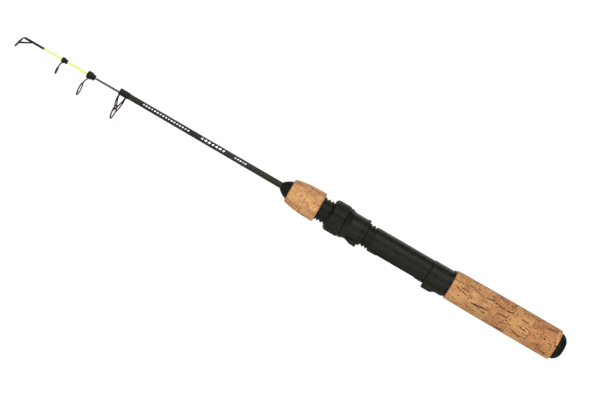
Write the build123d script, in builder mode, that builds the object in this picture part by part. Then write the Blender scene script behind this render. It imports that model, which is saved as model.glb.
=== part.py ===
from build123d import *

import os
from itertools import pairwise
from math import cos, radians, sin

# Telescopic ice fishing rod, shown partly collapsed. Millimetres.
# The rod runs along X: the tip is at -X, the butt at +X, and the guides and the reel hang below, at -Z.
# The origin is the middle of the flat bed that the reel's foot rests on.

# ---------------------------------------------------------------- driving dimensions

AXIS_Z = 9.6  # height of the rod's axis above the reel bed

# butt blank: the tube that the whip slides in, glued through the handle
BLANK_FRONT_X, BLANK_FRONT_R = -248.6, 2.25
BLANK_GRIP_X, BLANK_GRIP_R = -106.0, 2.50  # straight from here back
BLANK_END_X = 118.0
BLANK_MOUTH_BORE_R, BLANK_BORE_R = 1.92, 2.05
BLANK_MOUTH_LENGTH, BLANK_MOUTH_TAPER = 14.0, 10.0

# whip: one solid fibreglass taper with a plug at its base that slides in the butt blank
WHIP_TIP_X, WHIP_TIP_R = -329.5, 0.60
WHIP_MOUTH_R = 0.85  # where it enters the blank as shown
WHIP_BASE_X, WHIP_BASE_R = -89.5, 1.38
PLUG_LENGTH, PLUG_R, PLUG_CHAMFER = 12.0, 1.88, 0.4
WHIP_FALL = 0.0057  # drop per mm from the plug: the loose whip leans on the lower lip of the blank's mouth

# tip-top: a tube with a ring in front, whose foot leans the other way from the guides' rings
TIP_TUBE_FRONT_X, TIP_TUBE_REAR_X, TIP_TUBE_R = -331.6, -314.7, 0.90
TIP_BRACE_X = -324.8  # where the side braces leave the tube
TIP_RING_X, TIP_RING_DEPTH, TIP_RING_R, TIP_INSERT_R, TIP_BORE_R = -334.0, 5.3, 4.40, 3.75, 3.1
TIP_LEAN, TIP_TWIST = -15.0, -2.0

# guides
GUIDE_WIRE_R = 0.50
FRAME_RING_WIDTH, FRAME_RING_EDGE = 0.80, 0.20
INSERT_WIDTH, INSERT_EDGE = 1.00, 0.25
MOUTH_COLLAR_REAR_X, MOUTH_COLLAR_R = -240.3, 2.65
MOUTH_RING_X, MOUTH_RING_DEPTH, MOUTH_RING_R, MOUTH_INSERT_R, MOUTH_BORE_R = -244.8, 15.9, 6.0, 5.3, 4.6
MOUTH_LEAN, MOUTH_TWIST = 5.0, 8.0

# handle, from front to rear
CHECK_FRONT_X, FRONT_CORK_X, FRONT_RING_X, SEAT_FRONT_X = -105.7, -98.5, -72.0, -71.0
BARREL_FRONT_X, BARREL_REAR_X, SEAT_REAR_X, REAR_CORK_X = -25.2, 24.0, 41.6, 43.6
REAR_CORK_END_X, BUTT_END_X = 136.2, 142.9
CHECK_FRONT_R, CHECK_LIP_R, CHECK_MIDDLE_R, CHECK_REAR_R = 2.9, 3.3, 5.85, 7.3
FRONT_CORK_SEAMS = (FRONT_CORK_X, -85.25, FRONT_RING_X)
FRONT_CORK_FACE_R, FRONT_CORK_SHOULDER_R, FRONT_CORK_R, FRONT_CORK_END_R = 8.4, 9.7, 12.1, 11.2
REAR_CORK_SEAMS = (REAR_CORK_X, 60.1, 78.2, 95.7, 112.8, 132.4, REAR_CORK_END_X)
REAR_CORK_FACE_R, REAR_CORK_FRONT_R, REAR_CORK_R, REAR_CORK_END_R = 11.4, 12.0, 12.4, 11.6
FRONT_RING_R, REAR_RING_R = 9.6, 11.0

# reel seat: tube, thread, saddle
SEAT_BORE_R = 7.0
BARREL_R = 9.65
TENON_R = 8.6  # rear end of the seat, inside the fixed hood
THREAD_PITCH = 3.05
THREAD_CREST_R, THREAD_ROOT_R = 9.5, 8.6
THREAD_CREST_WIDTH, THREAD_ROOT_WIDTH = 0.9, 1.7
SADDLE_WIDTH = 10.0
BED_DEPTH, PAD_DEPTH = 9.6, 10.1  # below the axis: the reel bed, and the pads at its ends
BED_HALF_LENGTH, PAD_RAMP = 16.4, 1.0
KEYWAY_WIDTH, KEYWAY_FLOOR_R = 2.4, 8.0

# locking nut and moving hood
NUT_FRONT_X, NUT_REAR_X, NUT_R = -63.3, -49.9, 12.85
NUT_FACE_R, NUT_REAR_R, NUT_RIM = 11.0, 12.2, 0.6
NUT_BORE_R, NUT_RIDGE_R = 9.75, 8.8
NUT_RIDGE_BASE_WIDTH, NUT_RIDGE_TIP_WIDTH = 1.65, 1.0
NUT_THREAD_TURNS = 8
FLUTE_COUNT, FLUTE_R, FLUTE_CIRCLE_R = 32, 0.80, 13.15
FLUTES_FRONT_X, FLUTES_REAR_X = -60.5, -51.5
HOOD_FRONT_X, HOOD_REAR_X, HOOD_BORE_R = -49.7, -32.4, 9.7
HOOD_COLLAR_R, HOOD_NECK_R, HOOD_BODY_R, HOOD_LIP_R = 12.3, 11.0, 10.9, 11.4
HOOD_COLLAR_LENGTH, HOOD_LIP_LENGTH = 3.9, 2.6
HOOD_POCKET_DEPTH, HOOD_POCKET_HALF_WIDTH = 12.6, 6.6  # outside of the pocket, below the axis
HOOD_POCKET_FRONT_X, HOOD_POCKET_REAR_X = -43.8, -34.3
SNAP_R, SNAP_GAP, SNAP_BEAD = 10.6, 0.2, 0.35  # spigot of the nut that turns in the hood
SNAP_LENGTH = 2.5
KEY_LENGTH, KEY_GAP = 11.0, 0.25

# the reel's foot slides into a pocket of each hood
FOOT_WIDTH, FOOT_POCKET_TOP, FOOT_POCKET_FLOOR = 10.4, 8.7, 11.7

# fixed hood
FIXED_HOOD_R, FIXED_HOOD_DROP, FIXED_HOOD_EDGE = 10.9, 0.8, 1.6
FIXED_POCKET_DEPTH, FIXED_POCKET_HALF_WIDTH = 13.5, 7.2
FIXED_POCKET_FRONT_X, FIXED_POCKET_REAR_X = 24.9, 35.6
FIXED_FOOT_POCKET_FLOOR, FIXED_FOOT_POCKET_LENGTH = 12.2, 8.6

# butt cap
CAP_R, CAP_FACE_R, CAP_SPIGOT_R, CAP_SPIGOT_X = 10.5, 5.2, 5.0, 122.0

# ---------------------------------------------------------------- shared planes and helpers

ROD_AXIS = Axis((0, 0, AXIS_Z), (1, 0, 0))
ROD = Plane((0, 0, AXIS_Z), x_dir=(1, 0, 0), z_dir=(0, -1, 0))  # local x along the rod, y up from its axis
EMBED = 0.3  # how far a thread ridge runs into the wall that carries it


def whip_z(x):
    """Height of the whip's own axis at x."""
    return AXIS_Z - WHIP_FALL * (WHIP_BASE_X - x)


WHIP_AXIS = Axis((0, 0, whip_z(0)), (1, 0, WHIP_FALL))
WHIP_LINE = Plane((0, 0, whip_z(0)), x_dir=(1, 0, WHIP_FALL), z_dir=(0, -1, 0))  # as ROD, for the whip


def across(x):
    """Plane across the rod at x: local x is +Y, local y is up from the axis."""
    return Plane((x, 0, AXIS_Z), x_dir=(0, 1, 0), z_dir=(1, 0, 0))


def outline(*points, plane=ROD):
    """Closed outline of (x, distance from the axis) points, in the plane through the rod or the whip."""
    with BuildSketch(plane) as section:
        with BuildLine():
            Polyline(*points, close=True)
        make_face()
    return section.sketch


def whip_radius(x):
    """Radius of the whip at x, in front of the blank."""
    share = (x - WHIP_TIP_X) / (BLANK_FRONT_X - WHIP_TIP_X)
    return WHIP_TIP_R + share * (WHIP_MOUTH_R - WHIP_TIP_R)


def blank_radius(x):
    """Outer radius of the butt blank at x, in front of the grip."""
    share = (x - BLANK_FRONT_X) / (BLANK_GRIP_X - BLANK_FRONT_X)
    return BLANK_FRONT_R + share * (BLANK_GRIP_R - BLANK_FRONT_R)


def ring_plane(x, z, lean, twist):
    """Plane of a guide ring centred at (x, 0, z): local x runs to its +Y side, local y to its top.

    The top leans lean degrees towards the tip, and the +Y side is turned twist degrees towards the butt.
    """
    lean, twist = radians(lean), radians(twist)
    return Plane(
        (x, 0, z),
        x_dir=(sin(twist), cos(twist), 0),
        z_dir=(cos(twist) * cos(lean), -sin(twist) * cos(lean), sin(lean)),
    )


def hoop(plane, outer, inner, width, edge):
    """Flat ring with rounded edges, lying in plane."""
    with BuildPart() as ring:
        with BuildSketch(plane):
            Circle(outer)
            Circle(inner, mode=Mode.SUBTRACT)
        extrude(amount=width / 2, both=True)
        fillet(ring.edges().filter_by(GeomType.CIRCLE), radius=edge)
    return ring.part


def seat_of(plane, insert_r):
    """The round hole that a guide's insert sits in, longer than the frame and its wires are wide."""
    with BuildPart() as hole:
        with BuildSketch(plane):
            Circle(insert_r)
        extrude(amount=3 * GUIDE_WIRE_R, both=True)
    return hole.part


def wire_run(*points, radius=GUIDE_WIRE_R):
    """Round wire through points."""
    with BuildPart() as run:
        with BuildLine() as route:
            Spline(*points)
        with BuildSketch(Plane(origin=route.line @ 0, z_dir=route.line % 0)):
            Circle(radius)
        sweep(path=route.line)
    return run.part


def ridge(start_x, turns, base_r, tip_r, base_width, tip_width):
    """Helical ridge of a trapezium that starts at start_x; its flanks run on into the wall at base_r."""
    outward = 1 if base_r > tip_r else -1
    height = abs(base_r - tip_r)
    root_width = base_width + (base_width - tip_width) / height * EMBED
    with BuildPart() as thread:
        with BuildLine() as route:
            Helix(THREAD_PITCH, THREAD_PITCH * turns, base_r, center=(start_x, 0, AXIS_Z), direction=(1, 0, 0))
        start = route.line @ 0
        radial = (start - Vector(start_x, 0, AXIS_Z)).normalized()
        with BuildSketch(Plane(origin=start, x_dir=radial, z_dir=radial.cross(Vector(1, 0, 0)))):
            with BuildLine():
                Polyline(
                    (outward * EMBED, -root_width / 2),
                    (tip_r - base_r, -tip_width / 2),
                    (tip_r - base_r, tip_width / 2),
                    (outward * EMBED, root_width / 2),
                    close=True,
                )
            make_face()
        sweep(path=route.line, is_frenet=True)
    return thread.part


def arch(front_x, rear_x, half_width, depth, corner):
    """Round-cornered block under the axis, from front_x to rear_x: the outside of a hood's pocket."""
    with BuildPart() as block:
        with BuildSketch(across(front_x)) as end:
            with Locations((0, -depth / 2)):
                Rectangle(2 * half_width, depth)
            fillet(end.vertices().group_by(Axis.Z)[0], radius=corner)
        extrude(amount=rear_x - front_x)
    return block.part


os.makedirs("parts", exist_ok=True)

# ---------------------------------------------------------------- whip and tip-top

plug_front_x = WHIP_BASE_X - PLUG_LENGTH
with BuildPart() as whip:
    revolve(
        outline(
            (WHIP_TIP_X, 0),
            (WHIP_TIP_X, WHIP_TIP_R),
            (BLANK_FRONT_X, WHIP_MOUTH_R),
            (plug_front_x - PLUG_CHAMFER, WHIP_BASE_R),
            (plug_front_x, PLUG_R),
            (WHIP_BASE_X - PLUG_CHAMFER, PLUG_R),
            (WHIP_BASE_X, PLUG_R - PLUG_CHAMFER),
            (WHIP_BASE_X, 0),
            plane=WHIP_LINE,
        ),
        axis=WHIP_AXIS,
    )
whip.part.label = "whip"
export_step(whip.part, "parts/whip.step")

with BuildPart() as tip_top_tube:
    revolve(
        outline(
            (TIP_TUBE_FRONT_X, 0),
            (TIP_TUBE_FRONT_X, TIP_TUBE_R),
            (TIP_TUBE_REAR_X, TIP_TUBE_R),
            (TIP_TUBE_REAR_X, whip_radius(TIP_TUBE_REAR_X)),
            (WHIP_TIP_X, WHIP_TIP_R),
            (WHIP_TIP_X, 0),
            plane=WHIP_LINE,
        ),
        axis=WHIP_AXIS,
    )
tip_top_tube.part.label = "tip_top_tube"
export_step(tip_top_tube.part, "parts/tip_top_tube.step")

tip_plane = ring_plane(TIP_RING_X, whip_z(TIP_RING_X) - TIP_RING_DEPTH, TIP_LEAN, TIP_TWIST)
rim_r = (TIP_RING_R + TIP_INSERT_R) / 2
ring_top = tip_plane.from_local_coords((0, rim_r, 0))
with BuildPart() as tip_top_frame:
    add(hoop(tip_plane, TIP_RING_R, TIP_INSERT_R, FRAME_RING_WIDTH, FRAME_RING_EDGE))
    nose = (TIP_TUBE_FRONT_X - 0.5, 0, whip_z(TIP_TUBE_FRONT_X) - 0.2)
    add(wire_run((TIP_TUBE_FRONT_X + 1, 0, whip_z(TIP_TUBE_FRONT_X)), nose, ring_top))
    for side in (1, -1):
        foot = (TIP_BRACE_X, side * 0.5, whip_z(TIP_BRACE_X) - 0.4)
        bend = (TIP_BRACE_X - 4.4, side * 2.4, whip_z(TIP_BRACE_X) - 2.9)
        add(wire_run(foot, bend, tip_plane.from_local_coords((side * rim_r, 0, 0))))
    add(seat_of(tip_plane, TIP_INSERT_R), mode=Mode.SUBTRACT)
    add(tip_top_tube.part, mode=Mode.SUBTRACT)
    add(whip.part, mode=Mode.SUBTRACT)
tip_top_frame.part.label = "tip_top_frame"
export_step(tip_top_frame.part, "parts/tip_top_frame.step")

with BuildPart() as tip_top_ring:
    add(hoop(tip_plane, TIP_INSERT_R, TIP_BORE_R, INSERT_WIDTH, INSERT_EDGE))
tip_top_ring.part.label = "tip_top_ring"
export_step(tip_top_ring.part, "parts/tip_top_ring.step")

# ---------------------------------------------------------------- floating guides

# name: collar (front x, ball length, ball radius, barrel length, barrel radius, bore radius),
#       ring (x, depth below the whip, outer radius, insert radius, bore radius, lean, twist), x of the leg's foot
FLOATING_GUIDES = {
    "guide_1": ((-299.0, 3.1, 2.20, 2.0, 1.75, 1.10), (-298.2, 9.3, 3.1, 2.5, 1.95, 5.0, 5.0), -297.2),
    "guide_2": ((-276.6, 4.6, 3.00, 2.3, 2.30, 1.50), (-275.9, 12.8, 5.5, 4.8, 4.15, 3.0, 5.0), -274.1),
}
for name, (collar_sizes, ring_sizes, foot_x) in FLOATING_GUIDES.items():
    front, ball_length, ball_r, barrel_length, barrel_r, bore_r = collar_sizes
    ring_x, depth, ring_r, insert_r, ring_bore_r, lean, twist = ring_sizes
    ball_rear = front + ball_length
    collar_rear = ball_rear + barrel_length
    collar_z = whip_z(ball_rear)
    collar_plane = Plane((0, 0, collar_z), x_dir=(1, 0, 0), z_dir=(0, -1, 0))
    collar_axis = Axis((0, 0, collar_z), (1, 0, 0))

    with BuildPart() as collar:
        ball = outline(
            (front, bore_r), (front, ball_r), (ball_rear, ball_r), (ball_rear, bore_r), plane=collar_plane
        )
        revolve(ball, axis=collar_axis)
        ball_rims = collar.edges().filter_by(GeomType.CIRCLE).group_by(SortBy.RADIUS)[-1]
        fillet(ball_rims, radius=0.62 * (ball_r - bore_r))
        barrel = outline(
            (ball_rear - 1, bore_r),
            (ball_rear - 1, barrel_r),
            (collar_rear, barrel_r),
            (collar_rear, bore_r),
            plane=collar_plane,
        )
        revolve(barrel, axis=collar_axis)
        rims = collar.edges().filter_by(GeomType.CIRCLE).group_by(Axis.X)[-1]
        fillet(rims.sort_by(SortBy.RADIUS)[-1], radius=0.4)
    collar.part.label = f"{name}_collar"
    export_step(collar.part, f"parts/{name}_collar.step")

    plane = ring_plane(ring_x, collar_z - depth, lean, twist)
    ring_top = plane.from_local_coords((0, (ring_r + insert_r) / 2, 0))
    with BuildPart() as frame:
        add(hoop(plane, ring_r, insert_r, FRAME_RING_WIDTH, FRAME_RING_EDGE))
        foot_z = collar_z - ball_r + 0.5
        elbow = ((foot_x + ring_top.X) / 2 - 0.5, 0, (foot_z + ring_top.Z) / 2 - 0.3)
        add(wire_run((foot_x, 0, foot_z), elbow, ring_top))
        add(seat_of(plane, insert_r), mode=Mode.SUBTRACT)
        add(collar.part, mode=Mode.SUBTRACT)
    frame.part.label = f"{name}_frame"
    export_step(frame.part, f"parts/{name}_frame.step")

    with BuildPart() as insert:
        add(hoop(plane, insert_r, ring_bore_r, INSERT_WIDTH, INSERT_EDGE))
    insert.part.label = f"{name}_ring"
    export_step(insert.part, f"parts/{name}_ring.step")

# ---------------------------------------------------------------- butt blank and its mouth guide

with BuildPart() as butt_blank:
    revolve(
        outline(
            (BLANK_FRONT_X, BLANK_MOUTH_BORE_R),
            (BLANK_FRONT_X, BLANK_FRONT_R),
            (BLANK_GRIP_X, BLANK_GRIP_R),
            (BLANK_END_X, BLANK_GRIP_R),
            (BLANK_END_X, BLANK_BORE_R),
            (BLANK_FRONT_X + BLANK_MOUTH_LENGTH + BLANK_MOUTH_TAPER, BLANK_BORE_R),
            (BLANK_FRONT_X + BLANK_MOUTH_LENGTH, BLANK_MOUTH_BORE_R),
        ),
        axis=ROD_AXIS,
    )
butt_blank.part.label = "butt_blank"
export_step(butt_blank.part, "parts/butt_blank.step")

with BuildPart() as mouth_collar:
    revolve(
        outline(
            (BLANK_FRONT_X, blank_radius(BLANK_FRONT_X)),
            (BLANK_FRONT_X, MOUTH_COLLAR_R - 0.2),
            (BLANK_FRONT_X + 0.2, MOUTH_COLLAR_R),
            (MOUTH_COLLAR_REAR_X - 0.35, MOUTH_COLLAR_R),
            (MOUTH_COLLAR_REAR_X, blank_radius(MOUTH_COLLAR_REAR_X) + 0.1),
            (MOUTH_COLLAR_REAR_X, blank_radius(MOUTH_COLLAR_REAR_X)),
        ),
        axis=ROD_AXIS,
    )
mouth_collar.part.label = "mouth_collar"
export_step(mouth_collar.part, "parts/mouth_collar.step")

mouth_plane = ring_plane(MOUTH_RING_X, AXIS_Z - MOUTH_RING_DEPTH, MOUTH_LEAN, MOUTH_TWIST)
rim_r = (MOUTH_RING_R + MOUTH_INSERT_R) / 2
foot_z = AXIS_Z - MOUTH_COLLAR_R + 0.6
with BuildPart() as mouth_guide_frame:
    add(hoop(mouth_plane, MOUTH_RING_R, MOUTH_INSERT_R, FRAME_RING_WIDTH, FRAME_RING_EDGE))
    for side in (1, -1):
        # front leg: a pair of wires from one foot that spread to the ring's shoulders
        shoulder = mouth_plane.from_local_coords((side * rim_r * sin(radians(45)), rim_r * cos(radians(45)), 0))
        front_bend = (-247.2 + side * 0.3, side * 1.6, AXIS_Z - 6.6)
        add(wire_run((-247.6, side * 0.6, foot_z), front_bend, shoulder))
        # rear leg: a pair from the rear foot to the ring's sides
        flank = mouth_plane.from_local_coords((side * rim_r, 0, 0))
        rear_bend = (-242.8 + side * 0.4, side * 3.2, AXIS_Z - 8.8)
        add(wire_run((-242.3, side * 0.8, foot_z), rear_bend, flank))
    add(seat_of(mouth_plane, MOUTH_INSERT_R), mode=Mode.SUBTRACT)
    add(mouth_collar.part, mode=Mode.SUBTRACT)
    add(butt_blank.part, mode=Mode.SUBTRACT)
mouth_guide_frame.part.label = "mouth_guide_frame"
export_step(mouth_guide_frame.part, "parts/mouth_guide_frame.step")

with BuildPart() as mouth_guide_ring:
    add(hoop(mouth_plane, MOUTH_INSERT_R, MOUTH_BORE_R, INSERT_WIDTH, INSERT_EDGE))
mouth_guide_ring.part.label = "mouth_guide_ring"
export_step(mouth_guide_ring.part, "parts/mouth_guide_ring.step")

# ---------------------------------------------------------------- front grip

with BuildPart() as winding_check:
    with BuildSketch(ROD):
        with BuildLine():
            Polyline(
                (FRONT_CORK_X, CHECK_REAR_R),
                (FRONT_CORK_X, BLANK_GRIP_R),
                (CHECK_FRONT_X, BLANK_GRIP_R),
                (CHECK_FRONT_X, CHECK_FRONT_R),
                (CHECK_FRONT_X + 0.4, CHECK_LIP_R),
            )
            ThreePointArc(
                (CHECK_FRONT_X + 0.4, CHECK_LIP_R), (-101.9, CHECK_MIDDLE_R), (FRONT_CORK_X, CHECK_REAR_R)
            )
        make_face()
    revolve(axis=ROD_AXIS)
winding_check.part.label = "winding_check"
export_step(winding_check.part, "parts/winding_check.step")

with BuildSketch(ROD) as front_grip_section:
    with BuildLine():
        front_face = (FRONT_CORK_X, FRONT_CORK_FACE_R)
        shoulder = (FRONT_CORK_X + 1.1, FRONT_CORK_SHOULDER_R)
        swell = (FRONT_CORK_X + 17, FRONT_CORK_R - 0.1)
        rear_edge = (FRONT_RING_X - 1.6, FRONT_CORK_R)
        rear_face = (FRONT_RING_X, FRONT_CORK_END_R)
        Polyline(rear_face, (FRONT_RING_X, BLANK_GRIP_R), (FRONT_CORK_X, BLANK_GRIP_R), front_face)
        ThreePointArc(front_face, (FRONT_CORK_X + 0.35, FRONT_CORK_SHOULDER_R - 0.5), shoulder)
        ThreePointArc(shoulder, (FRONT_CORK_X + 8, FRONT_CORK_R - 0.95), swell)
        Line(swell, rear_edge)
        ThreePointArc(rear_edge, (FRONT_RING_X - 0.45, FRONT_CORK_R - 0.25), rear_face)
    make_face()
for number, (start_x, end_x) in enumerate(pairwise(FRONT_CORK_SEAMS), 1):
    with BuildPart() as cork:
        revolve(front_grip_section.sketch, axis=ROD_AXIS)
        with BuildSketch(across(start_x)):
            Circle(CAP_R * 2)
        extrude(amount=end_x - start_x, mode=Mode.INTERSECT)
    cork.part.label = f"front_cork_{number}"
    export_step(cork.part, f"parts/front_cork_{number}.step")

with BuildPart() as front_ring:
    with BuildSketch(across(FRONT_RING_X)):
        Circle(FRONT_RING_R)
        Circle(BLANK_GRIP_R, mode=Mode.SUBTRACT)
    extrude(amount=SEAT_FRONT_X - FRONT_RING_X)
front_ring.part.label = "front_ring"
export_step(front_ring.part, "parts/front_ring.step")

# ---------------------------------------------------------------- reel seat

with BuildPart() as reel_seat:
    # threaded front half: a tube and its ridge, both cut to length together
    with BuildSketch(across(SEAT_FRONT_X - THREAD_PITCH)):
        Circle(THREAD_ROOT_R)
        Circle(SEAT_BORE_R, mode=Mode.SUBTRACT)
    extrude(amount=BARREL_FRONT_X - SEAT_FRONT_X + 2 * THREAD_PITCH)
    add(
        ridge(
            SEAT_FRONT_X - THREAD_PITCH,
            round((BARREL_FRONT_X - SEAT_FRONT_X) / THREAD_PITCH) + 2,
            THREAD_ROOT_R,
            THREAD_CREST_R,
            THREAD_ROOT_WIDTH,
            THREAD_CREST_WIDTH,
        )
    )
    with BuildSketch(across(SEAT_FRONT_X)):
        Circle(BARREL_R)
    extrude(amount=BARREL_FRONT_X - SEAT_FRONT_X, mode=Mode.INTERSECT)
    # barrel, and the tenon that carries the fixed hood
    revolve(
        outline(
            (BARREL_FRONT_X, SEAT_BORE_R),
            (BARREL_FRONT_X, BARREL_R - 0.3),
            (BARREL_FRONT_X + 0.3, BARREL_R),
            (BARREL_REAR_X, BARREL_R),
            (BARREL_REAR_X, TENON_R),
            (SEAT_REAR_X, TENON_R),
            (SEAT_REAR_X, SEAT_BORE_R),
        ),
        axis=ROD_AXIS,
    )
    # saddle: a flat bed for the reel's foot between two slightly lower pads
    saddle_front_x, saddle_top = BARREL_FRONT_X + 0.3, 2 - BED_DEPTH
    with BuildSketch(ROD):
        with BuildLine():
            Polyline(
                (saddle_front_x, saddle_top),
                (saddle_front_x, -PAD_DEPTH),
                (-BED_HALF_LENGTH - PAD_RAMP, -PAD_DEPTH),
                (-BED_HALF_LENGTH, -BED_DEPTH),
                (BED_HALF_LENGTH, -BED_DEPTH),
                (BED_HALF_LENGTH + PAD_RAMP, -PAD_DEPTH),
                (BARREL_REAR_X, -PAD_DEPTH),
                (BARREL_REAR_X, saddle_top),
                close=True,
            )
        make_face()
    extrude(amount=SADDLE_WIDTH / 2, both=True)
    # the bed is planed level where the round barrel would stand proud of it
    with BuildSketch(ROD):
        with Locations((0, -BED_DEPTH - 0.5)):
            Rectangle(2 * BED_HALF_LENGTH, 1)
    extrude(amount=SADDLE_WIDTH / 2, both=True, mode=Mode.SUBTRACT)
    # keyway on the side of the thread, which keeps the moving hood from turning
    with BuildSketch(across(SEAT_FRONT_X)):
        with Locations((KEYWAY_FLOOR_R + 1, 0)):
            Rectangle(2, KEYWAY_WIDTH)
    extrude(amount=BARREL_FRONT_X - SEAT_FRONT_X, mode=Mode.SUBTRACT)
reel_seat.part.label = "reel_seat"
export_step(reel_seat.part, "parts/reel_seat.step")

for name, start_x, end_x in (("seat_arbor_front", -68.0, -40.0), ("seat_arbor_rear", 8.0, 36.0)):
    with BuildPart() as arbor:
        with BuildSketch(across(start_x)):
            Circle(SEAT_BORE_R)
            Circle(BLANK_GRIP_R, mode=Mode.SUBTRACT)
        extrude(amount=end_x - start_x)
    arbor.part.label = name
    export_step(arbor.part, f"parts/{name}.step")

# ---------------------------------------------------------------- locking nut and moving hood

with BuildPart() as nut_thread:
    add(
        ridge(
            SEAT_FRONT_X + 1.5 * THREAD_PITCH,  # a half pitch off the seat's ridge, so that the two mesh
            NUT_THREAD_TURNS,
            NUT_BORE_R,
            NUT_RIDGE_R,
            NUT_RIDGE_BASE_WIDTH,
            NUT_RIDGE_TIP_WIDTH,
        )
    )
    with BuildSketch(across(NUT_FRONT_X + NUT_RIM)):
        Circle(NUT_R)
    extrude(amount=NUT_REAR_X - NUT_FRONT_X - NUT_RIM, mode=Mode.INTERSECT)

with BuildPart() as locking_nut:
    revolve(
        outline(
            (NUT_FRONT_X, NUT_BORE_R + 0.3),
            (NUT_FRONT_X, NUT_FACE_R),
            (NUT_FRONT_X + 1.6, NUT_R - 0.25),
            (NUT_FRONT_X + 2.1, NUT_R),
            (NUT_REAR_X - 1.3, NUT_R),
            (NUT_REAR_X - 0.4, NUT_REAR_R),
            (NUT_REAR_X, NUT_REAR_R - 0.3),
            (NUT_REAR_X, SNAP_R),
            (NUT_REAR_X + 1.3, SNAP_R),
            (NUT_REAR_X + 1.4, SNAP_R + SNAP_BEAD),
            (NUT_REAR_X + 1.8, SNAP_R + SNAP_BEAD),
            (NUT_REAR_X + 2.0, SNAP_R),
            (NUT_REAR_X + SNAP_LENGTH, SNAP_R),
            (NUT_REAR_X + SNAP_LENGTH, NUT_BORE_R),
            (NUT_FRONT_X + 0.3, NUT_BORE_R),
        ),
        axis=ROD_AXIS,
    )
    add(nut_thread.part)
    with BuildSketch(across(FLUTES_FRONT_X)):
        with PolarLocations(FLUTE_CIRCLE_R, FLUTE_COUNT):
            Circle(FLUTE_R)
    extrude(amount=FLUTES_REAR_X - FLUTES_FRONT_X, mode=Mode.SUBTRACT)
locking_nut.part.label = "locking_nut"
export_step(locking_nut.part, "parts/locking_nut.step")

with BuildPart() as hood_pocket:
    add(arch(HOOD_POCKET_FRONT_X, HOOD_POCKET_REAR_X, HOOD_POCKET_HALF_WIDTH, HOOD_POCKET_DEPTH, 2.6))
    # its floor rises in a ramp to the front
    with BuildSketch(ROD):
        with BuildLine():
            Polyline(
                (HOOD_POCKET_FRONT_X, -HOOD_BORE_R),
                (HOOD_POCKET_FRONT_X, -HOOD_NECK_R + 0.1),
                (HOOD_POCKET_FRONT_X + 2.6, -HOOD_POCKET_DEPTH + 0.9),
                (HOOD_POCKET_FRONT_X + 4.8, -HOOD_POCKET_DEPTH),
                (HOOD_POCKET_REAR_X, -HOOD_POCKET_DEPTH),
                (HOOD_POCKET_REAR_X, -HOOD_BORE_R + 1),
                close=True,
            )
        make_face()
    extrude(amount=FOOT_WIDTH, both=True, mode=Mode.INTERSECT)

snap_bore_r = SNAP_R + SNAP_GAP
neck_x, lip_x = HOOD_FRONT_X + HOOD_COLLAR_LENGTH, HOOD_REAR_X - HOOD_LIP_LENGTH
with BuildPart() as moving_hood:
    revolve(
        outline(
            (HOOD_FRONT_X, snap_bore_r),
            (HOOD_FRONT_X, HOOD_COLLAR_R - 0.3),
            (HOOD_FRONT_X + 0.3, HOOD_COLLAR_R),
            (HOOD_FRONT_X + 0.9, HOOD_COLLAR_R),
            (neck_x, HOOD_NECK_R),
            (lip_x, HOOD_BODY_R),
            (lip_x + 0.4, HOOD_LIP_R),
            (HOOD_REAR_X - 0.3, HOOD_LIP_R),
            (HOOD_REAR_X, HOOD_LIP_R - 0.3),
            (HOOD_REAR_X, HOOD_BORE_R),
            (HOOD_FRONT_X + SNAP_LENGTH, HOOD_BORE_R),
            (HOOD_FRONT_X + SNAP_LENGTH, snap_bore_r),
            (HOOD_FRONT_X + 2.0, snap_bore_r),
            (HOOD_FRONT_X + 2.0, snap_bore_r + SNAP_BEAD),
            (HOOD_FRONT_X + 0.9, snap_bore_r + SNAP_BEAD),
            (HOOD_FRONT_X + 0.9, snap_bore_r),
        ),
        axis=ROD_AXIS,
    )
    add(hood_pocket.part)
    with BuildSketch(across(HOOD_FRONT_X + SNAP_LENGTH)):
        Circle(HOOD_BORE_R)
    extrude(amount=HOOD_REAR_X - HOOD_FRONT_X, mode=Mode.SUBTRACT)
    # pocket for the front end of the reel's foot, open to the rear
    with BuildSketch(across(HOOD_POCKET_FRONT_X + 3.6)):
        with Locations((0, -(FOOT_POCKET_TOP + FOOT_POCKET_FLOOR) / 2)):
            Rectangle(FOOT_WIDTH, FOOT_POCKET_FLOOR - FOOT_POCKET_TOP)
    extrude(amount=HOOD_REAR_X - HOOD_POCKET_FRONT_X, mode=Mode.SUBTRACT)
    # key that runs in the seat's keyway
    key_floor_r = KEYWAY_FLOOR_R + 0.3
    with BuildSketch(across(HOOD_FRONT_X + SNAP_LENGTH + 1)):
        with Locations(((key_floor_r + HOOD_BORE_R + EMBED) / 2, 0)):
            Rectangle(HOOD_BORE_R + EMBED - key_floor_r, KEYWAY_WIDTH - 2 * KEY_GAP)
    extrude(amount=KEY_LENGTH)
moving_hood.part.label = "moving_hood"
export_step(moving_hood.part, "parts/moving_hood.step")

# ---------------------------------------------------------------- fixed hood

with BuildPart() as fixed_pocket:
    add(arch(FIXED_POCKET_FRONT_X, FIXED_POCKET_REAR_X, FIXED_POCKET_HALF_WIDTH, FIXED_POCKET_DEPTH, 3.4))
    # its floor rises in a ramp to the rear
    with BuildSketch(ROD):
        with BuildLine():
            Polyline(
                (FIXED_POCKET_FRONT_X, -TENON_R),
                (FIXED_POCKET_FRONT_X, -FIXED_POCKET_DEPTH + 0.4),
                (FIXED_POCKET_FRONT_X + 0.5, -FIXED_POCKET_DEPTH),
                (FIXED_POCKET_REAR_X - 3.6, -FIXED_POCKET_DEPTH),
                (FIXED_POCKET_REAR_X, -FIXED_HOOD_R - FIXED_HOOD_DROP + 0.4),
                (FIXED_POCKET_REAR_X, -TENON_R),
                close=True,
            )
        make_face()
    extrude(amount=FOOT_WIDTH, both=True, mode=Mode.INTERSECT)

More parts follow.
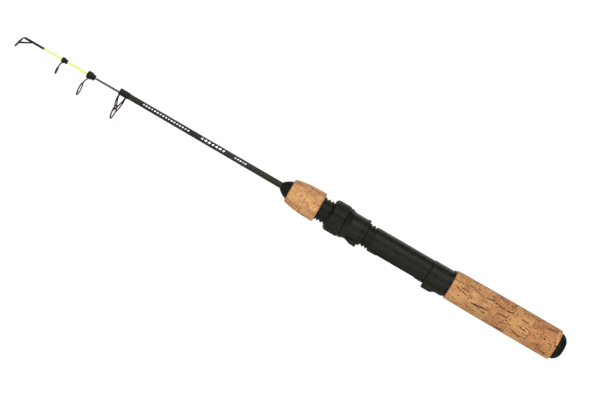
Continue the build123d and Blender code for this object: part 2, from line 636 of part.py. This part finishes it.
with BuildPart() as fixed_hood:
    with BuildSketch(across(BARREL_REAR_X)):
        with Locations((0, -FIXED_HOOD_DROP)):
            Circle(FIXED_HOOD_R)
    extrude(amount=SEAT_REAR_X - BARREL_REAR_X)
    fillet(fixed_hood.edges().filter_by(GeomType.CIRCLE).group_by(Axis.X)[0], radius=FIXED_HOOD_EDGE)
    add(fixed_pocket.part)
    with BuildSketch(across(BARREL_REAR_X)):
        Circle(TENON_R)
    extrude(amount=SEAT_REAR_X - BARREL_REAR_X, mode=Mode.SUBTRACT)
    # pocket for the rear end of the reel's foot, open to the front
    with BuildSketch(across(BARREL_REAR_X)):
        with Locations((0, -(BED_DEPTH + FIXED_FOOT_POCKET_FLOOR) / 2)):
            Rectangle(FOOT_WIDTH + 0.6, FIXED_FOOT_POCKET_FLOOR - BED_DEPTH)
    extrude(amount=FIXED_FOOT_POCKET_LENGTH, mode=Mode.SUBTRACT)
fixed_hood.part.label = "fixed_hood"
export_step(fixed_hood.part, "parts/fixed_hood.step")

# ---------------------------------------------------------------- rear grip and butt

with BuildPart() as rear_ring:
    with BuildSketch(across(SEAT_REAR_X)):
        Circle(REAR_RING_R)
        Circle(BLANK_GRIP_R, mode=Mode.SUBTRACT)
    extrude(amount=REAR_CORK_X - SEAT_REAR_X)
rear_ring.part.label = "rear_ring"
export_step(rear_ring.part, "parts/rear_ring.step")

with BuildSketch(ROD) as rear_grip_section:
    with BuildLine():
        front_face = (REAR_CORK_X, REAR_CORK_FACE_R)
        shoulder = (REAR_CORK_X + 1, REAR_CORK_FRONT_R)
        rear_edge = (REAR_CORK_END_X - 1, REAR_CORK_R)
        rear_face = (REAR_CORK_END_X, REAR_CORK_END_R)
        Polyline(
            rear_face,
            (REAR_CORK_END_X, CAP_SPIGOT_R),
            (CAP_SPIGOT_X - 1, CAP_SPIGOT_R),
            (CAP_SPIGOT_X - 1, BLANK_GRIP_R),
            (REAR_CORK_X, BLANK_GRIP_R),
            front_face,
        )
        ThreePointArc(front_face, (REAR_CORK_X + 0.3, REAR_CORK_FRONT_R - 0.2), shoulder)
        ThreePointArc(shoulder, (REAR_CORK_X + 28, REAR_CORK_FRONT_R + 0.25), rear_edge)
        ThreePointArc(rear_edge, (REAR_CORK_END_X - 0.3, REAR_CORK_R - 0.3), rear_face)
    make_face()
for number, (start_x, end_x) in enumerate(pairwise(REAR_CORK_SEAMS), 1):
    with BuildPart() as cork:
        revolve(rear_grip_section.sketch, axis=ROD_AXIS)
        with BuildSketch(across(start_x)):
            Circle(CAP_R * 2)
        extrude(amount=end_x - start_x, mode=Mode.INTERSECT)
    cork.part.label = f"rear_cork_{number}"
    export_step(cork.part, f"parts/rear_cork_{number}.step")

with BuildPart() as butt_cap:
    rim = (REAR_CORK_END_X + 1.8, CAP_R)
    face = (BUTT_END_X, CAP_FACE_R)
    with BuildSketch(ROD):
        with BuildLine():
            Polyline(
                face,
                (BUTT_END_X, 0),
                (CAP_SPIGOT_X, 0),
                (CAP_SPIGOT_X, CAP_SPIGOT_R),
                (REAR_CORK_END_X, CAP_SPIGOT_R),
                (REAR_CORK_END_X, CAP_R),
                rim,
            )
            ThreePointArc(rim, (BUTT_END_X - 1.9, CAP_R - 2.1), face)
        make_face()
    revolve(axis=ROD_AXIS)
butt_cap.part.label = "butt_cap"
export_step(butt_cap.part, "parts/butt_cap.step")
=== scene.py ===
import math

import bpy
import numpy as np
from mathutils import Matrix, Vector, noise


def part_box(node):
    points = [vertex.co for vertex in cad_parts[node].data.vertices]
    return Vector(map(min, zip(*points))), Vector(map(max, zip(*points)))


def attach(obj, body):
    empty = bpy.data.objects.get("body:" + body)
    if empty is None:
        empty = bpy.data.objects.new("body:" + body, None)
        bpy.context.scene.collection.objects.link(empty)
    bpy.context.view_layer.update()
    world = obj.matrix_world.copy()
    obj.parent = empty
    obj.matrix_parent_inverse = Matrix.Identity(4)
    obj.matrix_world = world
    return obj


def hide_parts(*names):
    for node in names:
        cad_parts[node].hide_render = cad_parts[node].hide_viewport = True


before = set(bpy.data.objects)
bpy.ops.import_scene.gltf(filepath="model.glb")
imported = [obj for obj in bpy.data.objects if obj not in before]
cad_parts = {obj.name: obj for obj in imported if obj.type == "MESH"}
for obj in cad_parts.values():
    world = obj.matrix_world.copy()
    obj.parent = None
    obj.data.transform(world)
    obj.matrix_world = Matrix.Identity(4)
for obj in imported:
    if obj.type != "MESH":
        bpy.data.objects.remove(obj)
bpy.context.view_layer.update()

MM = 0.001
AXIS_Z = (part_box("butt_blank")[0][2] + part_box("butt_blank")[1][2]) / 2  # height of the rod's axis


def put(name, data):
    """A new object in the scene's collection."""
    made = bpy.data.objects.new(name, data)
    bpy.context.collection.objects.link(made)
    return made


# ---------------------------------------------------------------- camera, floor and light

TILT = math.radians(30.27)  # the rod runs down to the right by this much in the picture
CAMERA_DISTANCE = 1.7
CAMERA_REACH = 50
VIEW_WIDTH = 0.4555  # what the picture's long side spans at the rod
AIM_X = -0.0872
AIM_BELOW_AXIS = 0.0060

FLOOR_Z = -0.35
FLOOR_REACH = 6.0
FLOOR_COLOR, FLOOR_ROUGHNESS = (0.85, 0.85, 0.85, 1), 0.9
WHITE = (1, 1, 1, 1)
SEEN_STRENGTH = 1.05  # of the white that the camera sees as room and floor
ROOM_STRENGTH = 0.16  # of the room's own light on the rod

# light: y and z, width and height, power
LIGHTS = {
    "box_above": ((-1.2, 1.0), (1.6, 1.0), 21),
    "box_below": ((-0.5, -0.30), (1.6, 0.5), 4.5),
    "box_behind": ((0.9, 1.0), (1.6, 0.8), 9),
}


def make_camera():
    camera = put("camera", bpy.data.cameras.new("camera"))
    camera.data.lens = camera.data.sensor_width * CAMERA_DISTANCE / VIEW_WIDTH
    right = Vector((math.cos(TILT), 0, math.sin(TILT)))
    up = Vector((-math.sin(TILT), 0, math.cos(TILT)))
    axes = Matrix((right, up, right.cross(up))).transposed().to_4x4()
    camera.matrix_world = Matrix.Translation((AIM_X, -CAMERA_DISTANCE, AXIS_Z - AIM_BELOW_AXIS)) @ axes
    camera.data.clip_end = CAMERA_REACH
    bpy.context.scene.camera = camera


def area_light(name, place, size, power):
    """Soft rectangular light that faces the middle of the picture."""
    light = put(name, bpy.data.lights.new(name, "AREA"))
    light.data.shape = "RECTANGLE"
    light.data.size, light.data.size_y = size
    light.data.energy = power
    light.location = place
    target = Vector((AIM_X, 0, AXIS_Z))
    light.rotation_euler = (target - Vector(place)).to_track_quat("-Z", "Y").to_euler()


def split_for_camera(tree, lit, seen, surface):
    """Gives the surface one shader for the camera to see, and another for the light to meet."""
    path = tree.nodes.new("ShaderNodeLightPath")
    mix = tree.nodes.new("ShaderNodeMixShader")
    tree.links.new(path.outputs["Is Camera Ray"], mix.inputs["Fac"])
    tree.links.new(lit, mix.inputs[1])
    tree.links.new(seen, mix.inputs[2])
    tree.links.new(mix.outputs["Shader"], surface)


def make_room():
    """White all round, and much dimmer on the rod than to the camera."""
    world = bpy.data.worlds.new("room")
    bpy.context.scene.world = world
    world.use_nodes = True
    tree = world.node_tree
    lit = tree.nodes["Background"]
    seen = tree.nodes.new("ShaderNodeBackground")
    for node, strength in ((lit, ROOM_STRENGTH), (seen, SEEN_STRENGTH)):
        node.inputs["Strength"].default_value = strength
        node.inputs["Color"].default_value = WHITE
    surface = tree.nodes["World Output"].inputs["Surface"]
    split_for_camera(tree, lit.outputs["Background"], seen.outputs["Background"], surface)


def make_floor():
    """Flat paper far below: plain white to the camera, a pale bounce of light to the rod."""
    mesh = bpy.data.meshes.new("floor")
    corners = [(-1, -1), (1, -1), (1, 1), (-1, 1)]
    mesh.from_pydata([(x * FLOOR_REACH, y * FLOOR_REACH, FLOOR_Z) for x, y in corners], [], [(0, 1, 2, 3)])
    floor = put("floor", mesh)
    paper = bpy.data.materials.new("floor_paper")
    paper.use_nodes = True
    tree = paper.node_tree
    seen = tree.nodes.new("ShaderNodeEmission")
    seen.inputs["Strength"].default_value = SEEN_STRENGTH
    lit = tree.nodes["Principled BSDF"]
    lit.inputs["Base Color"].default_value = FLOOR_COLOR
    lit.inputs["Roughness"].default_value = FLOOR_ROUGHNESS
    surface = tree.nodes["Material Output"].inputs["Surface"]
    split_for_camera(tree, lit.outputs["BSDF"], seen.outputs["Emission"], surface)
    mesh.materials.append(paper)


def make_stage():
    """Room, floor, and soft boxes above, below and behind."""
    make_room()
    make_floor()
    for name, ((y, z), size, power) in LIGHTS.items():
        area_light(name, (AIM_X, y, z), size, power)
    bpy.context.scene.view_settings.view_transform = "Standard"


# ---------------------------------------------------------------- material kit


class Shade:
    """A principled material and short calls that add nodes to it."""

    def __init__(self, name, color, roughness, **sockets):
        self.material = bpy.data.materials.new(name)
        self.material.use_nodes = True
        self.tree = self.material.node_tree
        self.bsdf = self.tree.nodes["Principled BSDF"]
        self.bsdf.inputs["Base Color"].default_value = (*color, 1)
        self.bsdf.inputs["Roughness"].default_value = roughness
        for socket, value in sockets.items():
            self.bsdf.inputs[socket.replace("_", " ")].default_value = value
        self.place = self.tree.nodes.new("ShaderNodeTexCoord").outputs["Object"]

    def node(self, kind, inputs=(), **settings):
        made = self.tree.nodes.new(kind)
        for key, value in settings.items():
            setattr(made, key, value)
        for key, value in dict(inputs).items():
            if isinstance(value, bpy.types.NodeSocket):
                self.tree.links.new(value, made.inputs[key])
            else:
                made.inputs[key].default_value = value
        return made

    def stretched(self, x, y, z):
        """Object position in metres times a factor on each axis."""
        mapping = self.node("ShaderNodeMapping", {"Vector": self.place, "Scale": (x, y, z)})
        return mapping.outputs["Vector"]

    def noise(self, vector, scale, detail=3.0, rough=0.55):
        inputs = {"Vector": vector, "Scale": scale, "Detail": detail, "Roughness": rough}
        return self.node("ShaderNodeTexNoise", inputs).outputs["Fac"]

    def attribute(self, name):
        """Colour attribute of the mesh."""
        return self.node("ShaderNodeVertexColor", layer_name=name).outputs["Color"]

    def ramp(self, value, *stops):
        """Colour ramp of (position, colour) stops; a colour may be one number."""
        made = self.node("ShaderNodeValToRGB", {"Fac": value})
        ramp = made.color_ramp
        while len(ramp.elements) < len(stops):
            ramp.elements.new(0.5)
        for element, (place, color) in zip(ramp.elements, stops):
            element.position = place
            element.color = (color, color, color, 1) if isinstance(color, float) else (*color, 1)
        return made.outputs["Color"]

    def mix(self, share, a, b, how="MIX"):
        made = self.node("ShaderNodeMix", data_type="RGBA", blend_type=how)
        for key, value in ((0, share), (6, a), (7, b)):
            if isinstance(value, bpy.types.NodeSocket):
                self.tree.links.new(value, made.inputs[key])
            else:
                made.inputs[key].default_value = value if key == 0 else (*value, 1)
        return made.outputs[2]

    def between(self, value, low, high, a, b):
        """Colour that goes from a to b while value goes from low to high."""
        return self.mix(self.ramp(value, (low, 0.0), (high, 1.0)), a, b)

    def math(self, what, a, b=0.0, c=0.0):
        return self.node("ShaderNodeMath", {0: a, 1: b, 2: c}, operation=what).outputs["Value"]

    def feed(self, name, socket):
        """Links a socket to the named input of the principled shader."""
        self.tree.links.new(socket, self.bsdf.inputs[name])

    def bump(self, height, distance, strength=1.0):
        inputs = {"Height": height, "Distance": distance, "Strength": strength}
        self.feed("Normal", self.node("ShaderNodeBump", inputs).outputs["Normal"])


def scaled(color, factor):
    return tuple(c * factor for c in color)


# ---------------------------------------------------------------- materials

WARM_SHEEN = (1.0, 0.98, 0.84, 1.0)
BLACK_SHEEN = 0.16  # low specular level: the black parts stay deep under the soft boxes
BLANK_SHEEN = 0.20
PLAIN_SHEEN = 0.5

CORK_DARK, CORK_TAN, CORK_PALE = (0.35, 0.148, 0.050), (0.495, 0.240, 0.089), (0.61, 0.330, 0.135)
CORK_STAIN, CORK_PORE = (0.24, 0.080, 0.025), (0.030, 0.010, 0.004)
CORK_BUMP = 0.16 * MM

BLANK_DARK, BLANK_PALE = (0.008, 0.0085, 0.007), (0.018, 0.019, 0.0155)
TAPE_PITCH = 2.4 * MM

NEON_DARK, NEON_PALE = (0.46, 0.72, 0.004), (0.58, 0.82, 0.012)
# strength of the painted glow on the neon paint: it shines of itself, whatever the lamps
NEON_PAINTED_GLOW = 0.16
REAR_BLACK = (0.008, 0.008, 0.009)
PAINT_END_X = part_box("guide_2_collar")[0][0] + 2 * MM  # the neon paint ends under the second guide
PAINT_EDGE = 0.4 * MM  # how ragged that end is

INK_WORN, INK, INK_FRESH = (0.50, 0.51, 0.49), (0.85, 0.86, 0.84), (0.92, 0.93, 0.91)


def cork_material():
    """Cork: granular tan, with the pores, tone and glue line of each ring read from its mesh."""
    m = Shade("cork", (0.50, 0.26, 0.12), 0.80)
    grain = m.noise(m.place, 1500, 4.0, 0.65)
    mottle = m.noise(m.stretched(0.5, 1, 1), 240, 4.0, 0.6)
    growth = m.noise(m.stretched(7, 1, 1), 130, 3.0, 0.55)  # thin growth lines across the rod
    cells = m.node("ShaderNodeTexVoronoi", {"Vector": m.place, "Scale": 1500.0}, feature="DISTANCE_TO_EDGE")
    tan = m.ramp(mottle, (0.28, CORK_DARK), (0.50, CORK_TAN), (0.72, CORK_PALE))
    speck = m.ramp(grain, (0.34, 0.52), (0.50, 1.0), (0.70, 1.12))
    lines = m.ramp(growth, (0.34, 0.72), (0.46, 1.0), (0.75, 1.06))
    body = m.mix(0.85, tan, speck, "MULTIPLY")
    body = m.mix(0.55, body, lines, "MULTIPLY")
    body = m.mix(1.0, body, m.attribute("tone"), "MULTIPLY")
    # a pore is a dark hole with a stained rim, and the grain makes its edge ragged
    ragged = m.math("MULTIPLY_ADD", grain, 0.5, m.math("ADD", m.attribute("pore"), -0.25))
    rim = m.ramp(ragged, (0.06, 0.0), (0.32, 0.9))
    stained = m.mix(rim, body, CORK_STAIN)
    m.feed("Base Color", m.between(ragged, 0.34, 0.56, stained, CORK_PORE))
    fine = m.math("MULTIPLY", cells.outputs["Distance"], 0.35)
    m.bump(m.math("ADD", m.math("MULTIPLY", grain, 0.6), fine), CORK_BUMP, 0.9)
    m.feed("Roughness", m.ramp(mottle, (0.3, 0.72), (0.7, 0.88)))
    return m.material


def moulded_material(name, color, roughness, grain_scale, grain_depth, sheen=PLAIN_SHEEN):
    """Moulded plastic, rubber or foam: fine spark-eroded grain, a little uneven in its sheen."""
    m = Shade(name, color, roughness, Specular_IOR_Level=sheen, Specular_Tint=WARM_SHEEN)
    cloud = m.noise(m.place, 90, 3.0, 0.6)
    grain = m.noise(m.place, grain_scale, 2.0, 0.6)
    m.feed("Base Color", m.between(cloud, 0.35, 0.68, scaled(color, 0.72), scaled(color, 1.35)))
    m.feed("Roughness", m.ramp(cloud, (0.3, roughness - 0.05), (0.7, roughness + 0.07)))
    m.bump(grain, grain_depth, 0.6)
    return m.material


def blank_material():
    """Butt blank: sanded graphite under satin varnish, with the faint spiral of its wrapping tape."""
    sheen = {"Specular_IOR_Level": BLANK_SHEEN, "Specular_Tint": WARM_SHEEN}
    m = Shade("graphite_blank", (0.018, 0.019, 0.016), 0.34, **sheen)
    split = m.node("ShaderNodeSeparateXYZ", {"Vector": m.place})
    x, y = split.outputs["X"], split.outputs["Y"]
    z = m.math("ADD", split.outputs["Z"], -AXIS_Z)
    turn = m.math("ARCTAN2", y, z)
    spiral = m.math("SINE", m.math("MULTIPLY_ADD", x, 2 * math.pi / TAPE_PITCH, turn))
    fibres = m.noise(m.stretched(0.05, 1, 1), 5200, 3.0, 0.6)
    cloud = m.noise(m.stretched(0.3, 1, 1), 60, 3.0, 0.6)
    m.feed("Base Color", m.between(cloud, 0.3, 0.7, BLANK_DARK, BLANK_PALE))
    m.feed("Roughness", m.ramp(fibres, (0.3, 0.30), (0.7, 0.42)))
    m.bump(m.math("MULTIPLY_ADD", spiral, 0.35, m.math("MULTIPLY", fibres, 0.4)), 0.00002, 0.5)
    return m.material


def whip_material():
    """Whip: fluorescent lacquer, given a faint painted glow, up to the second guide, black lacquer behind
    it.
    """
    m = Shade("whip_lacquer", (0.5, 0.8, 0.02), 0.30, Coat_Weight=0.6, Coat_Roughness=0.12)
    x = m.node("ShaderNodeSeparateXYZ", {"Vector": m.place}).outputs["X"]
    ragged = m.math("MULTIPLY_ADD", m.noise(m.place, 3000), PAINT_EDGE, x)
    black = m.math("GREATER_THAN", ragged, PAINT_END_X)
    streak = m.noise(m.stretched(0.08, 1, 1), 1800, 3.0, 0.6)
    neon = m.between(streak, 0.3, 0.7, NEON_DARK, NEON_PALE)
    m.feed("Base Color", m.mix(black, neon, REAR_BLACK))
    # painted glow: the neon paint emits its own light, the black rear does not
    m.feed("Emission Color", m.mix(black, neon, (0.0, 0.0, 0.0)))
    m.bsdf.inputs["Emission Strength"].default_value = NEON_PAINTED_GLOW
    m.feed("Roughness", m.ramp(streak, (0.3, 0.26), (0.7, 0.38)))
    m.bump(streak, 0.00001, 0.5)
    return m.material


def lacquer_material(name, color, roughness, scale, sheen=PLAIN_SHEEN):
    """Glossy coat on wire, small mouldings and ceramic, with faint orange peel."""
    m = Shade(name, color, roughness, Specular_IOR_Level=sheen)
    peel = m.noise(m.place, scale, 2.0, 0.5)
    cloud = m.noise(m.place, 400, 3.0, 0.6)
    m.feed("Base Color", m.between(cloud, 0.35, 0.7, scaled(color, 0.7), scaled(color, 1.4)))
    m.feed("Roughness", m.ramp(cloud, (0.3, roughness), (0.7, roughness + 0.08)))
    m.bump(peel, 0.00001, 0.5)
    return m.material


def mark_material():
    """Pale ink of the printed ornament, worn thin in places."""
    m = Shade("pale_ink", INK, 0.4)
    worn = m.noise(m.place, 2600, 3.0, 0.6)
    m.feed("Base Color", m.ramp(worn, (0.24, INK_WORN), (0.42, INK), (0.7, INK_FRESH)))
    m.bump(worn, 0.000005, 0.5)
    return m.material


def dress(material, *nodes):
    """Gives CAD nodes their material."""
    for name in nodes:
        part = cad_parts[name]
        part.data.materials.clear()
        part.data.materials.append(material)


# ---------------------------------------------------------------- cork

CORK_STEP = 0.30 * MM  # spacing of the mesh along and around a grip
SEAM_DEPTH = 0.12 * MM
SEAM_WIDTH = 0.30 * MM
PORE_DEPTH = 0.42 * MM
DENT_DEPTH = 0.09  # mm
LUMPS_ALONG, LUMPS_AROUND = 900, 8  # how fine the uneven surface is, per metre and per radian
LUMP_TONE, SEAM_TONE = 0.16, 0.24  # how far lumps and glue lines change the colour

# ring: seed, tone, streaks, pits
CORKS = {
    "front_cork_1": (11, (1.14, 1.17, 1.20), 0, 40),
    "front_cork_2": (12, (1.12, 1.14, 1.17), 3, 60),
    "rear_cork_1": (21, (1.02, 1.02, 1.00), 16, 90),
    "rear_cork_2": (22, (1.00, 1.02, 1.03), 30, 150),
    "rear_cork_3": (23, (0.90, 0.84, 0.78), 34, 140),
    "rear_cork_4": (24, (1.06, 1.05, 1.02), 18, 80),
    "rear_cork_5": (25, (0.92, 0.84, 0.76), 34, 140),
    "rear_cork_6": (26, (1.12, 1.10, 1.04), 5, 24),
}


def outer_profile(node):
    """Positions along the rod and outer radii of a turned CAD node, and the radius of its bore."""
    points = {}
    bore = 1.0
    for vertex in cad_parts[node].data.vertices:
        x, y, z = vertex.co
        radius = math.hypot(y, z - AXIS_Z)
        key = round(x, 6)
        points[key] = max(points.get(key, 0.0), radius)
        bore = min(bore, radius)
    xs = sorted(points)
    return np.array(xs), np.array([points[x] for x in xs]), bore


def pore_field(xs, angles, radius, start, end, rng, streaks, pits):
    """Darkness from 0 to 1 of the pores of one ring over a grid of xs by angles."""
    field = np.zeros((len(xs), len(angles)))
    grid_x = xs[:, None]
    grid_a = angles[None, :]

    def blob(x, a, half_x, half_a, depth):
        across = (np.mod(grid_a - a + math.pi, 2 * math.pi) - math.pi) * radius
        d = ((grid_x - x) / half_x) ** 2 + (across / half_a) ** 2
        np.maximum(field, depth * np.exp(-(d**1.5)), out=field)

    # a streak is a chain of blobs that wanders along the rod
    for _ in range(streaks):
        x = rng.uniform(start, end)
        a = rng.uniform(-math.pi, math.pi)
        lean = rng.normal(0, 0.12)
        weight = rng.uniform(0.55, 1.0)
        for _ in range(rng.integers(3, 12)):
            half_x = rng.uniform(0.45, 1.1) * MM
            half_a = rng.uniform(0.22, 0.55) * MM
            blob(x, a, half_x, half_a, weight * rng.uniform(0.6, 1.0))
            step = rng.uniform(0.5, 1.3) * MM
            x += step
            a += (lean * step + rng.normal(0, 0.22) * MM) / radius
            if x > end:
                break
    for _ in range(pits):
        size = rng.uniform(0.16, 0.48) * MM
        x = rng.uniform(start, end)
        a = rng.uniform(-math.pi, math.pi)
        blob(x, a, size * rng.uniform(1, 2), size, rng.uniform(0.4, 0.9))
    return field


def cork_ring(node, seed, tone, streaks, pits):
    """One glued ring of a grip, with real pores, that stands for its CAD node."""
    rng = np.random.default_rng(seed)
    xs_cad, radii_cad, bore = outer_profile(node)
    start, end = xs_cad[0], xs_cad[-1]
    rows = max(3, round((end - start) / CORK_STEP) + 1)
    xs = np.linspace(start, end, rows)
    radii = np.interp(xs, xs_cad, radii_cad)
    count = round(2 * math.pi * radii.max() / CORK_STEP)
    angles = np.arange(count) * 2 * math.pi / count
    pores = pore_field(xs, angles, radii.mean(), start, end, rng, streaks, pits)

    def lump(x, a):
        around = (math.cos(a) * LUMPS_AROUND, math.sin(a) * LUMPS_AROUND + seed)
        return noise.noise(Vector((x * LUMPS_ALONG, *around)))

    seam = np.exp(-(np.minimum(xs - start, end - xs) / SEAM_WIDTH) ** 2)
    lumps = np.array([[lump(x, a) for a in angles] for x in xs])
    dents = np.clip(-lumps, 0, 1) * DENT_DEPTH * MM
    radius = radii[:, None] - SEAM_DEPTH * seam[:, None] - PORE_DEPTH * pores - dents

    # closed ring: the outer rows, then the rear and the front edge of the bore
    bore_xs = (end, start)
    total = rows + len(bore_xs)
    ring_r = np.vstack([radius, np.full((len(bore_xs), count), bore)])
    points = np.empty((total, count, 3))
    points[..., 0] = np.concatenate([xs, bore_xs])[:, None]
    points[..., 1] = ring_r * np.sin(angles)
    points[..., 2] = AXIS_Z + ring_r * np.cos(angles)

    index = np.arange(total * count).reshape(total, count)
    ahead = np.roll(index, -1, axis=0)
    corners = [index, ahead, np.roll(ahead, -1, axis=1), np.roll(index, -1, axis=1)]
    faces = np.stack(corners, axis=-1).reshape(-1, 4)
    mesh = bpy.data.meshes.new(node)
    mesh.from_pydata(points.reshape(-1, 3).tolist(), [], faces.tolist())
    mesh.shade_smooth()

    cloud = 1 + LUMP_TONE * lumps - SEAM_TONE * seam[:, None]
    shade = np.ones((total, count, 4))
    shade[:rows, :, :3] = np.array(tone) * cloud[..., None]
    shade[rows:, :, :3] = tone
    dark = np.ones((total, count, 4))
    dark[:rows, :, :3] = pores[..., None]
    dark[rows:, :, :3] = 0
    for layer, values in (("tone", shade), ("pore", dark)):
        attribute = mesh.color_attributes.new(layer, "FLOAT_COLOR", "POINT")
        attribute.data.foreach_set("color", np.clip(values, 0, 2).ravel().astype(np.float32))
    return put(f"cork_{node}", mesh)


def make_corks():
    cork = cork_material()
    for node, (seed, tone, streaks, pits) in CORKS.items():
        piece = cork_ring(node, seed, tone, streaks, pits)
        piece.data.materials.append(cork)
        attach(piece, "handle")
        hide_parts(node)


# ---------------------------------------------------------------- printed ornament on the blank

# group: front x, number of marks, pitch, mark length, half height, slant (all in mm)
ORNAMENT = (
    (-228.5, 17, 2.45, 1.9, 0.75, 0.5),
    (-177.4, 7, 3.15, 2.6, 1.10, 0.8),
    (-147.6, 5, 2.20, 1.7, 0.75, 0.5),
)
INK_LIFT = 0.02 * MM
MARK_STEPS = 4  # mesh rows in half a mark
MARK_BLUNT = 0.06 * MM  # half width of a mark's points
MARK_RISE = 0.25 * MM  # of the rows above the middle of the blank's side
LONG_MARK, SHORT_MARK = 0.5, 0.36  # half length, as a share of the group's mark length
SHORT_EVERY = 3

# the taper of the blank in front of the grip, in metres
BLANK_FRONT_X, BLANK_FRONT_R = -0.2486, 2.25 * MM
BLANK_GRIP_X, BLANK_GRIP_R = -0.1060, 2.50 * MM


def blank_outer_radius(x):
    """Radius of the tapered blank in front of the grip."""
    length = BLANK_GRIP_X - BLANK_FRONT_X
    return BLANK_FRONT_R + (BLANK_GRIP_R - BLANK_FRONT_R) * (x - BLANK_FRONT_X) / length


def make_ornament():
    """Rows of slanted lozenges on the side of the blank, a plain pattern in place of print."""
    points, faces = [], []
    for front, count, pitch, length, half_height, slant in ORNAMENT:
        for number in range(count):
            middle = (front + (number + 0.5) * pitch) * MM
            half_length = length * (LONG_MARK if number % SHORT_EVERY else SHORT_MARK) * MM
            first = len(points)
            for row in range(2 * MARK_STEPS + 1):
                share = row / MARK_STEPS - 1
                height = share * half_height * MM
                half = half_length * (1 - abs(share)) + MARK_BLUNT
                for side in (-1, 1):
                    x = middle + side * half + share * slant * MM * 0.5
                    radius = blank_outer_radius(x) + INK_LIFT
                    angle = math.asin(height / radius)
                    z = AXIS_Z + MARK_RISE + radius * math.sin(angle)
                    points.append((x, -radius * math.cos(angle), z))
            for row in range(2 * MARK_STEPS):
                a = first + 2 * row
                faces.append((a, a + 1, a + 3, a + 2))
    mesh = bpy.data.meshes.new("ornament")
    mesh.from_pydata(points, [], faces)
    piece = put("blank_ornament", mesh)
    mesh.materials.append(mark_material())
    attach(piece, "handle")


# ---------------------------------------------------------------- the object


def dress_cad_nodes():
    nylon = moulded_material("black_nylon", (0.0075, 0.0075, 0.0055), 0.46, 2600, 0.00003, BLACK_SHEEN)
    rubber = moulded_material("black_rubber", (0.0060, 0.0058, 0.0050), 0.70, 1900, 0.00005, BLACK_SHEEN)
    trim = moulded_material("trim_black", (0.003, 0.003, 0.003), 0.42, 2600, 0.00001, BLACK_SHEEN)
    foam = moulded_material("arbor_foam", (0.30, 0.26, 0.20), 0.9, 900, 0.0001)
    plastic = lacquer_material("guide_plastic", (0.004, 0.004, 0.004), 0.30, 900, BLACK_SHEEN)
    wire = lacquer_material("guide_wire_lacquer", (0.002, 0.002, 0.002), 0.28, 1500, BLACK_SHEEN)
    ceramic = lacquer_material("guide_ceramic", (0.16, 0.075, 0.045), 0.12, 1200)
    guides = ("tip_top", "guide_1", "guide_2", "mouth_guide")
    dress(nylon, "reel_seat", "locking_nut", "moving_hood", "fixed_hood")
    dress(rubber, "winding_check", "butt_cap")
    dress(trim, "front_ring", "rear_ring")
    dress(foam, "seat_arbor_front", "seat_arbor_rear")
    dress(blank_material(), "butt_blank")
    dress(whip_material(), "whip")
    dress(plastic, "guide_1_collar", "guide_2_collar", "mouth_collar")
    dress(wire, "tip_top_tube", *[f"{guide}_frame" for guide in guides])
    dress(ceramic, *[f"{guide}_ring" for guide in guides])


make_camera()
make_stage()
dress_cad_nodes()
make_corks()
make_ornament()
